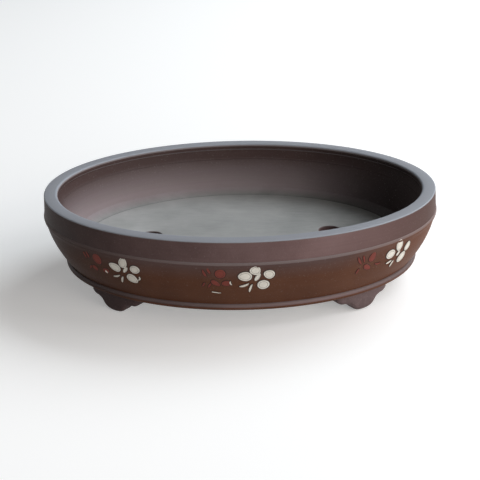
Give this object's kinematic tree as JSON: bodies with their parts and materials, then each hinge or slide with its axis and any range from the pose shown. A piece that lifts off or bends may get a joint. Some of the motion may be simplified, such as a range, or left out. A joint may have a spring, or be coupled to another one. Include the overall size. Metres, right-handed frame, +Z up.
{
  "type": "oval bonsai pot",
  "caption": "Shallow oval bonsai pot in dark unglazed clay, with a flat banded rim, curved wall, half-round rolls, scalloped feet, drain holes and raised slip flowers.",
  "frame": {"origin": "middle of the pot, on the plane that its feet stand on", "axes": "+X along the length of the oval, -Y out of the front, +Z up"},
  "size_m": [0.3228, 0.2422, 0.0765],
  "materials": {
    "clay": "unglazed, fine grained, matt",
    "white_slip": "brushed slip, matt",
    "red_slip": "brushed slip, matt"
  },
  "bodies": {
    "root": {"rim_band": "clay", "upper_roll": "clay", "wall": "clay", "base_roll": "clay", "floor_slab": "clay", "seam_coil": "clay", "foot_front_left": "clay", "foot_front_right": "clay", "foot_back_left": "clay", "foot_back_right": "clay", "white_flower_front_left": "white_slip", "white_flower_front_middle": "white_slip", "white_flower_front_right": "white_slip", "white_flower_back_left": "white_slip", "white_flower_back_middle": "white_slip", "white_flower_back_right": "white_slip", "red_flower_front_left": "red_slip", "red_flower_front_middle": "red_slip", "red_flower_front_right": "red_slip", "red_flower_back_left": "red_slip", "red_flower_back_middle": "red_slip", "red_flower_back_right": "red_slip"}
  },
  "joints": []
}
